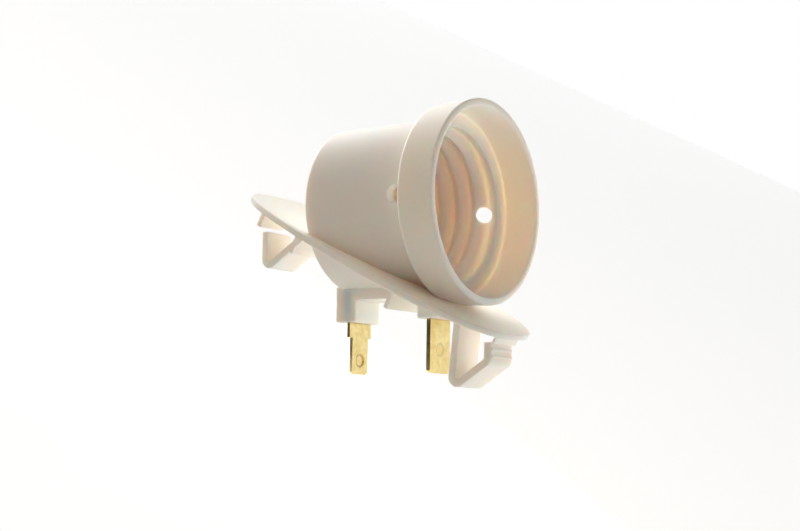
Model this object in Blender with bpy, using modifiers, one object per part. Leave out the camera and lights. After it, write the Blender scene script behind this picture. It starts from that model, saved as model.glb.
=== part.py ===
"""Refrigerator lamp socket: a moulded screw socket set at an angle on an oval clip-in flange.

Two brass contacts pass through the moulding, from the lamp's cap to push-on tabs below.

The part's frame has its origin at the centre of the flange's seat, +X along the flange's long axis
towards the socket's mouth, and +Z along the flange's normal, on the lamp's side. The lamp's own frame,
which hangs on an empty at the centre of the mouth, has +Z along the lamp's axis, out of the mouth,
+X towards the terminals, and +Y the same as the part's.
"""

import math

import bmesh
import bpy
from mathutils import Vector

MM = 0.001

# Flange
FLANGE_LENGTH = 59.8 * MM
FLANGE_WIDTH = 33.6 * MM
FLANGE_THICKNESS = 1.1 * MM
FLANGE_EXPONENT = 2.58          # of the superellipse: 2 is an ellipse, more is squarer
FLANGE_EDGE_ROUND = 0.25 * MM
FLANGE_POINTS = 80
SEAT_RIM_WIDTH = 1.0 * MM       # raised border of the underside, which seats on the panel
SEAT_RIM_HEIGHT = 0.2 * MM

# Where the socket stands on the flange
LAMP_TILT = math.radians(27.6)  # lamp axis above the plane of the flange
MOUTH_X = 14.4 * MM
MOUTH_Z = 19.15 * MM

# Socket, along the lamp axis from the mouth
SOCKET_LENGTH = 28.8 * MM
REAR_WALL = 1.2 * MM
BARREL_FRONT_RADIUS = 15.2 * MM
BARREL_REAR_RADIUS = 14.95 * MM
REAR_EDGE_ROUND = 0.6 * MM
COLLAR_MOUTH_RADIUS = 18.0 * MM
COLLAR_BACK_RADIUS = 17.7 * MM
COLLAR_LENGTH = 7.35 * MM
COLLAR_WALL = 1.35 * MM
COLLAR_DEPTH = 6.5 * MM         # inside, down to its floor
COLLAR_BACK_ROUND = 0.6 * MM
RIM_ROUND = 0.3 * MM
SHOULDER_RADIUS = 14.8 * MM     # outer edge of the lead-in between the collar's floor and the thread
SHOULDER_DROP = 2.4 * MM        # depth of that lead-in
TURNED_STEPS = 64

# Screw thread for the lamp's cap
THREAD_ROOT_RADIUS = 13.6 * MM
THREAD_CREST_RADIUS = 12.35 * MM
THREAD_PITCH = 3.6 * MM
THREAD_GROOVE_WIDTH = 2.5 * MM
THREAD_TURNS = 5
THREAD_START = 24.0 * MM        # groove's inner end, behind the mouth's plane
THREAD_START_ANGLE = math.radians(3)
THREAD_STEPS = 32
THREAD_PROFILE_POINTS = 5

# Round holes across the barrel
CROSS_HOLE_RADIUS = 1.55 * MM
CROSS_HOLE_DEPTH = 9.4 * MM     # from the mouth
CROSS_HOLE_SIDES = 24

# Spring clips and locating walls under the flange. An inset is from the flange's nearer end
CLIP_WIDTH = 7.2 * MM
CLIP_THICKNESS = 1.4 * MM
CLIP_BEND_RADIUS = 1.1 * MM     # at the middle of the strip
CLIP_RAMP_LEAN = math.radians(57)   # between a ramp leg and the perpendicular to the lamp axis
FRONT_BEND_DEPTH = 32.5 * MM    # below the lamp axis, where the two legs' middles meet
FRONT_BEND_BACK = 5.1 * MM      # behind the mouth's plane
FRONT_LEG_LEAN = math.radians(5.7)
HOOK_REACH = 7.3 * MM           # from the bend to the hook's middle, along the lamp axis
HOOK_GAP = 1.6 * MM             # between the hook's free end and the seat
HOOK_RIDGE_RADIUS = 0.35 * MM
HOOK_RIDGE_PITCH = 1.2 * MM
HOOK_RIDGES = 2
HOOK_RIDGE_SIDES = 12
REAR_BEND_INSET = 7.46 * MM     # where the two legs' middles meet
REAR_BEND_DEPTH = 11.4 * MM     # below the seat
REAR_CLIP_GAP = 5.0 * MM        # between its free end and the seat
FRONT_LIP_INSET = 1.1 * MM
FRONT_LIP_THICKNESS = 0.6 * MM
FRONT_LIP_DEPTH = 1.3 * MM
END_WALL_INSET = 2.0 * MM
END_WALL_THICKNESS = 1.1 * MM
END_WALL_DEPTH = 4.8 * MM
ROOT_WALL_INSET = 11.5 * MM
ROOT_WALL_THICKNESS = 1.0 * MM
ROOT_WALL_DEPTH = 6.1 * MM
GUARD_WALL_X = 8.0 * MM
GUARD_WALL_THICKNESS = 0.9 * MM
GUARD_WALL_DEPTH = 5.0 * MM
GUARD_WALL_WIDTH = 13.6 * MM

# Terminal block, the pad that runs from it to the guard wall, and the boss of the side contact,
# in the lamp's frame
BLOCK_WIDTH = 7.7 * MM
BLOCK_BACK = 29.7 * MM          # behind the mouth's plane
BLOCK_FRONT = 25.3 * MM
BLOCK_DEPTH = 20.4 * MM         # below the lamp axis
PAD_DEPTH = 16.5 * MM
PAD_FRONT = 16.6 * MM           # behind the mouth's plane, inside the guard wall
BOSS_WIDTH = 8.8 * MM
BOSS_LENGTH = 3.4 * MM
BOSS_DEPTH = 20.2 * MM
MOULDED_EDGE_ROUND = 0.2 * MM

# Brass contacts
CONTACT_END = 29.6 * MM         # tips of both tabs, below the lamp axis
CONTACT_CLEARANCE = 0.15 * MM   # round a contact in its slot
TIP_CHAMFER = 0.4 * MM          # of a tab's two corners
TIP_BEVEL_LENGTH = 0.65 * MM    # of the lead-in on both faces of a tab's tip
TIP_BEVEL_DEPTH = 0.17 * MM
DIMPLE_RADIUS = 1.3 * MM        # of the dent that a push-on receptacle snaps into
DIMPLE_DEPTH = 0.22 * MM
DIMPLE_RINGS = (0.7, 0.35, 0)   # shares of its radius
DIMPLE_SIDES = 20
CENTRE_TAB_WIDTH = 4.75 * MM
CENTRE_STRIP_WIDTH = 6.5 * MM
CENTRE_THICKNESS = 0.6 * MM
CENTRE_SHOULDER = 23.05 * MM    # below the lamp axis
CENTRE_DIMPLE = 27.1 * MM
CENTRE_SPRING_BEND = 4.5 * MM   # below the lamp axis, where the tongue leaves the floor
CENTRE_SPRING_LENGTH = 6.5 * MM
CENTRE_SPRING_ANGLE = math.radians(28)
SIDE_TAB_WIDTH = 6.3 * MM
SIDE_THICKNESS = 0.8 * MM
SIDE_PLACE = 10.0 * MM          # middle of the blade, behind the mouth's plane
SIDE_DIMPLE = 25.45 * MM
SIDE_LEAF_LENGTH = 6.0 * MM
SIDE_LEAF_RISE = math.radians(10)
SIDE_LEAF_SEAT = 12.7 * MM      # middle of the leaf at its bend, below the lamp axis
CONTACT_BEND_RADIUS = 0.9 * MM
BEND_STEPS = 6

# Colours read off the photograph by eye, and the finish of each material
PLASTIC_COLOUR = (0.84, 0.77, 0.70, 1.0)
PLASTIC_ROUGHNESS = 0.42
BRASS_COLOUR = (0.83, 0.64, 0.24, 1.0)
BRASS_ROUGHNESS = 0.28

# How far one operand of a union reaches into the next, and a cutter past the surface
OVERLAP = 0.4 * MM


def start_empty():
    for old in list(bpy.data.objects):
        bpy.data.objects.remove(old)


def make_collection(name):
    made = bpy.data.collections.new(name)
    bpy.context.scene.collection.children.link(made)
    return made


def make_material(name, colour, roughness, metallic):
    material = bpy.data.materials.new(name)
    material.use_nodes = True
    shader = material.node_tree.nodes["Principled BSDF"]
    shader.inputs["Base Color"].default_value = colour
    shader.inputs["Roughness"].default_value = roughness
    shader.inputs["Metallic"].default_value = metallic
    return material


def place(obj, collection, parent=None):
    collection.objects.link(obj)
    obj.parent = parent
    if collection.name == "tools":
        obj.display_type = "WIRE"
        obj.hide_render = True
    return obj


def mesh_object(name, mesh, collection, parent=None):
    return place(bpy.data.objects.new(name, mesh), collection, parent)


def baked(obj):
    """Apply what an object's modifiers or curve settings make, and close the open ends it may have."""
    bpy.context.view_layer.update()
    evaluated = obj.evaluated_get(bpy.context.evaluated_depsgraph_get())
    mesh = bpy.data.meshes.new_from_object(evaluated)
    shape = bmesh.new()
    shape.from_mesh(mesh)
    bmesh.ops.remove_doubles(shape, verts=shape.verts, dist=1e-7)
    bmesh.ops.holes_fill(shape, edges=[e for e in shape.edges if e.is_boundary], sides=0)
    bmesh.ops.recalc_face_normals(shape, faces=shape.faces)
    shape.to_mesh(mesh)
    shape.free()
    made = bpy.data.objects.new(obj.name, mesh)
    for collection in obj.users_collection:
        collection.objects.link(made)
    made.parent = obj.parent
    made.matrix_world = obj.matrix_world.copy()
    made.display_type = obj.display_type
    made.hide_render = obj.hide_render
    name = obj.name
    bpy.data.objects.remove(obj)
    made.name = name
    return made


def turned(name, profile, steps, collection, parent):
    """Turn a profile of (radius, height) points, listed from the top down, about the parent's Z axis."""
    mesh = bpy.data.meshes.new(name)
    mesh.from_pydata([(r, 0, z) for r, z in profile], [(i, i + 1) for i in range(len(profile) - 1)], [])
    obj = mesh_object(name, mesh, collection, parent)
    screw = obj.modifiers.new("turn", "SCREW")
    screw.axis = "Z"
    screw.steps = steps
    screw.render_steps = steps
    screw.use_merge_vertices = True
    screw.merge_threshold = 1e-6
    screw.use_normal_calculate = False
    return baked(obj)


def arc(centre, radius, start, end, steps):
    """Points of an arc in the plane of a profile, from one angle to the other."""
    points = []
    for i in range(steps + 1):
        angle = start + (end - start) * i / steps
        points.append((centre[0] + radius * math.cos(angle), centre[1] + radius * math.sin(angle)))
    return points


def plate(name, outline, low, high, edge_round, collection):
    """A flat outline with its thickness between two heights, its edges rounded if asked."""
    curve = bpy.data.curves.new(name, "CURVE")
    curve.dimensions = "2D"
    curve.fill_mode = "BOTH"
    curve.extrude = (high - low) / 2
    spline = curve.splines.new("POLY")
    spline.points.add(len(outline) - 1)
    for point, (x, y) in zip(spline.points, outline):
        point.co = (x, y, 0, 1)
    spline.use_cyclic_u = True
    obj = place(bpy.data.objects.new(name, curve), collection)
    obj.location.z = (high + low) / 2
    obj = baked(obj)
    if edge_round:
        add_bevel(obj, edge_round, 2, math.radians(40))
    return obj


def box(name, low, high, edge_round, collection, parent=None):
    """A block between two corners."""
    shape = bmesh.new()
    bmesh.ops.create_cube(shape, size=1)
    size = [b - a for a, b in zip(low, high)]
    middle = [(a + b) / 2 for a, b in zip(low, high)]
    bmesh.ops.scale(shape, vec=size, verts=shape.verts)
    bmesh.ops.translate(shape, vec=middle, verts=shape.verts)
    mesh = bpy.data.meshes.new(name)
    shape.to_mesh(mesh)
    shape.free()
    obj = mesh_object(name, mesh, collection, parent)
    if edge_round:
        add_bevel(obj, edge_round, 2, math.radians(40))
    return obj


def cylinder(name, radius, length, middle, axis, segments, collection, parent=None):
    """A plain cylinder about a point, along one axis."""
    shape = bmesh.new()
    bmesh.ops.create_cone(
        shape, cap_ends=True, segments=segments, radius1=radius, radius2=radius, depth=length
    )
    turn = Vector((0, 0, 1)).rotation_difference(Vector(axis)).to_matrix()
    bmesh.ops.rotate(shape, cent=(0, 0, 0), matrix=turn, verts=shape.verts)
    bmesh.ops.translate(shape, vec=middle, verts=shape.verts)
    mesh = bpy.data.meshes.new(name)
    shape.to_mesh(mesh)
    shape.free()
    return mesh_object(name, mesh, collection, parent)


def add_bevel(obj, width, segments, angle):
    bevel = obj.modifiers.new("round_edges", "BEVEL")
    bevel.width = width
    bevel.segments = segments
    bevel.limit_method = "ANGLE"
    bevel.angle_limit = angle


def combine(obj, other, operation):
    boolean = obj.modifiers.new(operation.lower() + "_" + other.name, "BOOLEAN")
    boolean.operation = operation
    boolean.object = other
    boolean.solver = "EXACT"


def rounded_path(corners, radius, steps):
    """Corner points in a plane, with each inner corner turned into an arc."""
    path = [Vector(corners[0])]
    for before, corner, after in zip(corners, corners[1:], corners[2:]):
        corner = Vector(corner)
        back = (Vector(before) - corner).normalized()
        ahead = (Vector(after) - corner).normalized()
        half = back.angle(ahead) / 2
        centre = corner + (back + ahead).normalized() * (radius / math.sin(half))
        first = corner + back * (radius / math.tan(half)) - centre
        last = corner + ahead * (radius / math.tan(half)) - centre
        start = math.atan2(first.y, first.x)
        sweep = math.remainder(math.atan2(last.y, last.x) - start, 2 * math.pi)
        path += [Vector(point) for point in arc(centre, radius, start, start + sweep, steps)]
    path.append(Vector(corners[-1]))
    return path


def strip(name, corners, radius, thickness, width, collection, parent=None):
    """A bent strip, wide along Y, from corner points (x, z) along its middle."""
    path = rounded_path(corners, radius, BEND_STEPS)
    shape = bmesh.new()
    edges = []
    last = None
    for point in path:
        vert = shape.verts.new((point.x, -width / 2, point.y))
        if last:
            edges.append(shape.edges.new((last, vert)))
        last = vert
    grown = bmesh.ops.extrude_edge_only(shape, edges=edges)
    verts = [v for v in grown["geom"] if isinstance(v, bmesh.types.BMVert)]
    bmesh.ops.translate(shape, vec=(0, width, 0), verts=verts)
    mesh = bpy.data.meshes.new(name)
    shape.to_mesh(mesh)
    shape.free()
    obj = mesh_object(name, mesh, collection, parent)
    solid = obj.modifiers.new("thickness", "SOLIDIFY")
    solid.thickness = thickness
    solid.offset = 0
    solid.use_even_offset = True
    return obj


def superellipse(length, width, exponent, count):
    points = []
    for i in range(count):
        angle = 2 * math.pi * i / count
        c, s = math.cos(angle), math.sin(angle)
        x = length / 2 * math.copysign(abs(c) ** (2 / exponent), c)
        y = width / 2 * math.copysign(abs(s) ** (2 / exponent), s)
        points.append((x, y))
    return points


def make_lamp_frame(collection):
    """The empty at the middle of the mouth that everything on the lamp's axis hangs on."""
    frame = place(bpy.data.objects.new("lamp_frame", None), collection)
    frame.location = (MOUTH_X, 0, MOUTH_Z)
    frame.rotation_euler = (0, math.pi / 2 - LAMP_TILT, 0)
    bpy.context.view_layer.update()
    return frame


def below_lamp(height, lamp_z):
    """How far below the lamp axis, at a place along it, a height above the seat lies."""
    return (MOUTH_Z + lamp_z * math.sin(LAMP_TILT) - height) / math.cos(LAMP_TILT)


def in_lamp_frame(x, height):
    """A point above or below the flange, by its x and its height, as (x, z) in the lamp's frame."""
    along = x - MOUTH_X
    rise = height - MOUTH_Z
    sine, cosine = math.sin(LAMP_TILT), math.cos(LAMP_TILT)
    return (along * sine - rise * cosine, along * cosine + rise * sine)


def up_to_flange(start, lean):
    """Where a leg that rises from a point, leaning towards the mouth, is inside the flange."""
    height = MOUTH_Z + start[1] * math.sin(LAMP_TILT) - start[0] * math.cos(LAMP_TILT)
    length = (SEAT_RIM_HEIGHT + OVERLAP - height) / math.cos(lean - LAMP_TILT)
    return (start[0] - length * math.cos(lean), start[1] + length * math.sin(lean))


def socket_outside(tools, lamp):
    """Collar and barrel as one turned solid."""
    back = -COLLAR_LENGTH
    r = COLLAR_BACK_ROUND
    profile = [(0, 0)]
    profile += arc((COLLAR_MOUTH_RADIUS - RIM_ROUND, -RIM_ROUND), RIM_ROUND, math.pi / 2, 0, 2)
    profile += arc((COLLAR_BACK_RADIUS - r, back + r), r, 0, -math.pi / 2, 4)
    profile += [(BARREL_FRONT_RADIUS, back)]
    r = REAR_EDGE_ROUND
    profile += arc((BARREL_REAR_RADIUS - r, -SOCKET_LENGTH + r), r, 0, -math.pi / 2, 4)
    profile += [(0, -SOCKET_LENGTH)]
    return turned("socket_outside", profile, TURNED_STEPS, tools, lamp)


def socket_bore(tools, lamp):
    """The space inside collar and thread, as a cutter."""
    rim_inside = COLLAR_MOUTH_RADIUS - COLLAR_WALL
    collar_foot = COLLAR_BACK_RADIUS - COLLAR_WALL
    floor = -SOCKET_LENGTH + REAR_WALL
    profile = [
        (0, OVERLAP),
        (rim_inside + RIM_ROUND + OVERLAP, OVERLAP),
        (rim_inside + RIM_ROUND, 0),
        (rim_inside, -RIM_ROUND),
        (collar_foot, -COLLAR_DEPTH),
        (SHOULDER_RADIUS, -COLLAR_DEPTH),
        (THREAD_CREST_RADIUS, -COLLAR_DEPTH - SHOULDER_DROP),
        (THREAD_CREST_RADIUS, floor),
        (0, floor),
    ]
    return turned("socket_bore", profile, TURNED_STEPS, tools, lamp)


def thread_groove(tools, lamp):
    """The rounded groove between the thread's crests, a right-handed helix, as a cutter."""
    start = -THREAD_START
    inner = THREAD_CREST_RADIUS - OVERLAP
    depth = THREAD_ROOT_RADIUS - inner
    last = THREAD_PROFILE_POINTS - 1
    profile = []
    for i in range(THREAD_PROFILE_POINTS):
        angle = math.pi / 2 - math.pi * i / last
        across = THREAD_GROOVE_WIDTH / 2 * math.sin(angle)
        profile.append((inner + depth * math.cos(angle), 0, start + across))
    mesh = bpy.data.meshes.new("thread_groove")
    edges = [(i, (i + 1) % len(profile)) for i in range(len(profile))]
    mesh.from_pydata(profile, edges, [])
    obj = mesh_object("thread_groove", mesh, tools, lamp)
    screw = obj.modifiers.new("helix", "SCREW")
    screw.axis = "Z"
    screw.steps = THREAD_STEPS
    screw.render_steps = THREAD_STEPS
    screw.screw_offset = THREAD_PITCH
    screw.iterations = THREAD_TURNS
    obj.rotation_euler.z = THREAD_START_ANGLE
    return baked(obj)


def flange(tools):
    outline = superellipse(FLANGE_LENGTH, FLANGE_WIDTH, FLANGE_EXPONENT, FLANGE_POINTS)
    return plate("flange", outline, 0, FLANGE_THICKNESS, FLANGE_EDGE_ROUND, tools)


def seat_recess(tools):
    """The shallow field inside the seat's border, as a cutter."""
    length = FLANGE_LENGTH - 2 * SEAT_RIM_WIDTH
    width = FLANGE_WIDTH - 2 * SEAT_RIM_WIDTH
    outline = superellipse(length, width, FLANGE_EXPONENT, FLANGE_POINTS)
    return plate("seat_recess", outline, -OVERLAP, SEAT_RIM_HEIGHT, 0, tools)


def front_clip(tools, lamp):
    """The clip under the mouth: a fixed leg, a bend and a ramp that ends in a hook."""
    bend = (FRONT_BEND_DEPTH, -FRONT_BEND_BACK)
    root = up_to_flange(bend, FRONT_LEG_LEAN)
    hook_z = bend[1] + HOOK_REACH
    kink = (bend[0] - HOOK_REACH / math.tan(CLIP_RAMP_LEAN), hook_z)
    free_end = (below_lamp(-HOOK_GAP, hook_z), hook_z)
    clip = strip(
        "front_clip", [root, bend, kink, free_end], CLIP_BEND_RADIUS, CLIP_THICKNESS, CLIP_WIDTH,
        tools, lamp
    )
    pieces = [clip]
    for i in range(HOOK_RIDGES):
        middle = (free_end[0] + (i + 1) * HOOK_RIDGE_PITCH, 0, hook_z + CLIP_THICKNESS / 2)
        ridge = cylinder(
            f"hook_ridge_{i + 1}", HOOK_RIDGE_RADIUS, CLIP_WIDTH - OVERLAP, middle, (0, 1, 0),
            HOOK_RIDGE_SIDES, tools, lamp
        )
        pieces.append(ridge)
    return pieces


def rear_clip(tools, lamp):
    """The clip at the flange's other end: a free leg, a bend and a ramp up to its root."""
    bend = in_lamp_frame(-FLANGE_LENGTH / 2 + REAR_BEND_INSET, -REAR_BEND_DEPTH)
    free_end = (below_lamp(-REAR_CLIP_GAP, bend[1]), bend[1])
    root = up_to_flange(bend, CLIP_RAMP_LEAN)
    return strip(
        "rear_clip", [free_end, bend, root], CLIP_BEND_RADIUS, CLIP_THICKNESS, CLIP_WIDTH, tools, lamp
    )


def locating_wall(name, x, thickness, width, depth, tools):
    """A wall across the flange's underside."""
    low = (x - thickness / 2, -width / 2, -depth)
    high = (x + thickness / 2, width / 2, SEAT_RIM_HEIGHT + OVERLAP)
    return box(name, low, high, 0, tools)


def under_barrel(name, width, back, front, depth, edge_round, tools, lamp):
    """A block that hangs from the barrel, between two places along the lamp axis."""
    top = THREAD_ROOT_RADIUS + OVERLAP
    low = (top, -width / 2, -back)
    high = (depth, width / 2, -front)
    return box(name, low, high, edge_round, tools, lamp)


def contact_slot(name, width, thickness, place_z, bottom, tools, lamp):
    """The slot that a contact passes through, with its clearance all round."""
    half_width = width / 2 + CONTACT_CLEARANCE
    half_thickness = thickness / 2 + CONTACT_CLEARANCE
    low = (THREAD_CREST_RADIUS - OVERLAP, -half_width, place_z - half_thickness)
    high = (bottom + OVERLAP, half_width, place_z + half_thickness)
    return box(name, low, high, 0, tools, lamp)


def centre_strip_z():
    """Middle of the centre contact's strip, which stands clear of the socket's floor."""
    return -SOCKET_LENGTH + REAR_WALL + CONTACT_CLEARANCE + CENTRE_THICKNESS / 2


def build_body(part, tools, lamp, material):
    body = socket_outside(tools, lamp)
    tools.objects.unlink(body)
    part.objects.link(body)
    body.name = "socket_body"
    body.display_type = "TEXTURED"
    body.hide_render = False

    flange_plate = flange(tools)
    combine(flange_plate, seat_recess(tools), "DIFFERENCE")
    additions = [flange_plate]
    additions += front_clip(tools, lamp)
    additions.append(rear_clip(tools, lamp))
    front_end = FLANGE_LENGTH / 2
    lip_x = front_end - FRONT_LIP_INSET
    end_wall_x = END_WALL_INSET - front_end
    root_wall_x = ROOT_WALL_INSET - front_end
    walls = [
        ("front_lip", lip_x, FRONT_LIP_THICKNESS, CLIP_WIDTH, FRONT_LIP_DEPTH),
        ("end_wall", end_wall_x, END_WALL_THICKNESS, CLIP_WIDTH, END_WALL_DEPTH),
        ("root_wall", root_wall_x, ROOT_WALL_THICKNESS, CLIP_WIDTH, ROOT_WALL_DEPTH),
        ("guard_wall", GUARD_WALL_X, GUARD_WALL_THICKNESS, GUARD_WALL_WIDTH, GUARD_WALL_DEPTH),
    ]
    for name, x, thickness, width, depth in walls:
        additions.append(locating_wall(name, x, thickness, width, depth, tools))
    boss_back = SIDE_PLACE + BOSS_LENGTH / 2
    boss_front = SIDE_PLACE - BOSS_LENGTH / 2
    blocks = [
        ("terminal_block", BLOCK_WIDTH, BLOCK_BACK, BLOCK_FRONT, BLOCK_DEPTH, MOULDED_EDGE_ROUND),
        ("block_pad", BLOCK_WIDTH, BLOCK_FRONT + OVERLAP, PAD_FRONT, PAD_DEPTH, 0),
        ("side_boss", BOSS_WIDTH, boss_back, boss_front, BOSS_DEPTH, MOULDED_EDGE_ROUND),
    ]
    for name, width, back, front, depth, edge_round in blocks:
        additions.append(under_barrel(name, width, back, front, depth, edge_round, tools, lamp))
    for addition in additions:
        combine(body, addition, "UNION")

    leaf_back = -SIDE_PLACE - SIDE_LEAF_LENGTH - 2 * CONTACT_CLEARANCE
    leaf_front = -SIDE_PLACE + SIDE_THICKNESS / 2 + CONTACT_CLEARANCE
    leaf_half_width = SIDE_TAB_WIDTH / 2 + CONTACT_CLEARANCE
    leaf_floor = SIDE_LEAF_SEAT + SIDE_THICKNESS / 2 + CONTACT_CLEARANCE
    cuts = [
        socket_bore(tools, lamp),
        thread_groove(tools, lamp),
        cylinder(
            "cross_holes", CROSS_HOLE_RADIUS, 2 * COLLAR_MOUTH_RADIUS, (0, 0, -CROSS_HOLE_DEPTH),
            (0, 1, 0), CROSS_HOLE_SIDES, tools, lamp
        ),
        contact_slot(
            "centre_slot", CENTRE_STRIP_WIDTH, CENTRE_THICKNESS, centre_strip_z(), BLOCK_DEPTH,
            tools, lamp
        ),
        contact_slot(
            "side_slot", SIDE_TAB_WIDTH, SIDE_THICKNESS, -SIDE_PLACE, BOSS_DEPTH, tools, lamp
        ),
        box(
            "leaf_pocket", (THREAD_CREST_RADIUS - 2 * OVERLAP, -leaf_half_width, leaf_back),
            (leaf_floor, leaf_half_width, leaf_front), 0, tools, lamp
        ),
    ]
    for cut in cuts:
        combine(body, cut, "DIFFERENCE")
    body.data.materials.append(material)
    body.data.shade_smooth()
    body.data.set_sharp_from_angle(angle=math.radians(30))
    return body


def tab_cutters(name, width, thickness, place_z, dimple_x, tools, lamp):
    """What finishes a tab: two cut corners, a lead-in on both faces of its tip, and a dimple."""
    made = []
    for side, word in ((-1, "near"), (1, "far")):
        reach = TIP_CHAMFER / math.sqrt(2)
        wedge = box(
            f"{name}_corner_{word}", (-reach, -reach, -thickness), (reach, reach, thickness), 0,
            tools, lamp
        )
        wedge.location = (CONTACT_END, side * width / 2, place_z)
        wedge.rotation_euler = (0, 0, math.pi / 4)
        made.append(wedge)
    lean = math.atan2(TIP_BEVEL_DEPTH, TIP_BEVEL_LENGTH)
    for side, word in ((-1, "back"), (1, "front")):
        ends = sorted((0, side * thickness))
        low = (-TIP_BEVEL_LENGTH, -width / 2 - OVERLAP, ends[0])
        high = (2 * TIP_BEVEL_LENGTH, width / 2 + OVERLAP, ends[1])
        lead_in = box(f"{name}_lead_in_{word}", low, high, 0, tools, lamp)
        lead_in.location = (CONTACT_END - TIP_BEVEL_LENGTH, 0, place_z + side * thickness / 2)
        lead_in.rotation_euler = (0, side * lean, 0)
        made.append(lead_in)
    profile = [(0, OVERLAP), (DIMPLE_RADIUS, OVERLAP), (DIMPLE_RADIUS, 0)]
    for share in DIMPLE_RINGS:
        profile.append((share * DIMPLE_RADIUS, -DIMPLE_DEPTH * (1 - share * share)))
    dimple = turned(f"{name}_dimple", profile, DIMPLE_SIDES, tools, lamp)
    dimple.location = (dimple_x, 0, place_z + thickness / 2)
    made.append(dimple)
    return made


def build_centre_contact(part, tools, lamp, material):
    """The narrow tab, its wider strip up the socket's floor, and the tongue for the lamp's tip."""
    z = centre_strip_z()
    tongue_x = CENTRE_SPRING_BEND - CENTRE_SPRING_LENGTH * math.cos(CENTRE_SPRING_ANGLE)
    tongue_z = z + CENTRE_SPRING_LENGTH * math.sin(CENTRE_SPRING_ANGLE)
    corners = [(CONTACT_END, z), (CENTRE_SPRING_BEND, z), (tongue_x, tongue_z)]
    contact = strip(
        "centre_contact", corners, CONTACT_BEND_RADIUS, CENTRE_THICKNESS, CENTRE_STRIP_WIDTH,
        part, lamp
    )
    for side, word in ((-1, "near"), (1, "far")):
        sides = sorted((side * CENTRE_TAB_WIDTH / 2, side * (CENTRE_STRIP_WIDTH / 2 + OVERLAP)))
        low = (CENTRE_SHOULDER, sides[0], z - CENTRE_THICKNESS)
        high = (CONTACT_END + OVERLAP, sides[1], z + CENTRE_THICKNESS)
        combine(contact, box(f"centre_step_{word}", low, high, 0, tools, lamp), "DIFFERENCE")
    cutters = tab_cutters(
        "centre_tab", CENTRE_TAB_WIDTH, CENTRE_THICKNESS, z, CENTRE_DIMPLE, tools, lamp
    )
    for cutter in cutters:
        combine(contact, cutter, "DIFFERENCE")
    contact.data.materials.append(material)
    return contact


def build_side_contact(part, tools, lamp, material):
    """The wide tab and the leaf that lies in the thread and bears on the lamp's shell."""
    z = -SIDE_PLACE
    leaf_x = SIDE_LEAF_SEAT - SIDE_LEAF_LENGTH * math.tan(SIDE_LEAF_RISE)
    corners = [(CONTACT_END, z), (SIDE_LEAF_SEAT, z), (leaf_x, z - SIDE_LEAF_LENGTH)]
    contact = strip(
        "side_contact", corners, CONTACT_BEND_RADIUS, SIDE_THICKNESS, SIDE_TAB_WIDTH, part, lamp
    )
    for cutter in tab_cutters("side_tab", SIDE_TAB_WIDTH, SIDE_THICKNESS, z, SIDE_DIMPLE, tools, lamp):
        combine(contact, cutter, "DIFFERENCE")
    contact.data.materials.append(material)
    return contact


def main():
    start_empty()
    part = make_collection("refrigerator_lamp_socket")
    tools = make_collection("tools")
    plastic = make_material("ivory_plastic", PLASTIC_COLOUR, PLASTIC_ROUGHNESS, 0.0)
    brass = make_material("brass", BRASS_COLOUR, BRASS_ROUGHNESS, 1.0)
    lamp = make_lamp_frame(tools)
    build_body(part, tools, lamp, plastic)
    build_centre_contact(part, tools, lamp, brass)
    build_side_contact(part, tools, lamp, brass)


main()
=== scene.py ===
# %% [markdown]
# # A refrigerator lamp socket in ivory plastic
# This part holds the small screw lamp in a refrigerator. It is one plastic moulding with two brass
# strips in it: a socket that stands at an angle on a thin oval flange, and sprung clips under the
# flange that snap into the refrigerator's liner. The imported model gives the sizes. Here each piece
# gets its fine shape and its finish, and then a camera, a floor and soft light for the picture.

import math

import bpy
from mathutils import Matrix, Vector


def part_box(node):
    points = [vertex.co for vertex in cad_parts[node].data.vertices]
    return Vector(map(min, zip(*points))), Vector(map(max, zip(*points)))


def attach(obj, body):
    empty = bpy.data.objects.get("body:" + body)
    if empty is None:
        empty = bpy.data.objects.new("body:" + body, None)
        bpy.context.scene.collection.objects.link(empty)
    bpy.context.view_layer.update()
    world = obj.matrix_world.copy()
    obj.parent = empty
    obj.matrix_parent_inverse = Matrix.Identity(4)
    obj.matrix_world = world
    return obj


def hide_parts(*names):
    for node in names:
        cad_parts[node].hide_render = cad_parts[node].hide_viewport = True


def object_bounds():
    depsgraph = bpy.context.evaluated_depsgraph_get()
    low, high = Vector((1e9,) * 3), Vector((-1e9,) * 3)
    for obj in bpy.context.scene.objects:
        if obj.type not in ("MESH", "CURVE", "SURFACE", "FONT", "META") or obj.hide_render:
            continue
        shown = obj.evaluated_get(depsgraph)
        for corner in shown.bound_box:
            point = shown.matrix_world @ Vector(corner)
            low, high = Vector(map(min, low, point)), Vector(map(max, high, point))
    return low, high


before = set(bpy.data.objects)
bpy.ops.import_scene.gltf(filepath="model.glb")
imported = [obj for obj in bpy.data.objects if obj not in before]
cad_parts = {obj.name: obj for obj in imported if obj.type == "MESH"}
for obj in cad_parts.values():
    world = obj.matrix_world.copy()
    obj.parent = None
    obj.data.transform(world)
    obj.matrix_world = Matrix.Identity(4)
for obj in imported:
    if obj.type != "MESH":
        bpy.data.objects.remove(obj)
cad_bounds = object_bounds()
print("CAD box:", [tuple(round(1000 * c, 1) for c in corner) for corner in cad_bounds])

# %% [markdown]
# ## The camera
# The photograph was taken from in front of the part and a little above its flange, with the camera
# turned so that the lamp's axis lies nearly level in the picture. A camera aimed at a point near the
# part's middle, and then rolled about its own line of sight, gives that view. The lens is long, so
# the perspective is weak, as in the photograph.

# %% Aim the camera
MM = 0.001
CAMERA_PLACE = Vector((160.93, -233.36, 48.44)) * MM
CAMERA_TARGET = Vector((2.80, 0.0, 1.55)) * MM
CAMERA_ROLL = math.radians(23.71)
LENS = 72.0
SENSOR_WIDTH = 36.0
NEAREST_SEEN = 10 * MM

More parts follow.
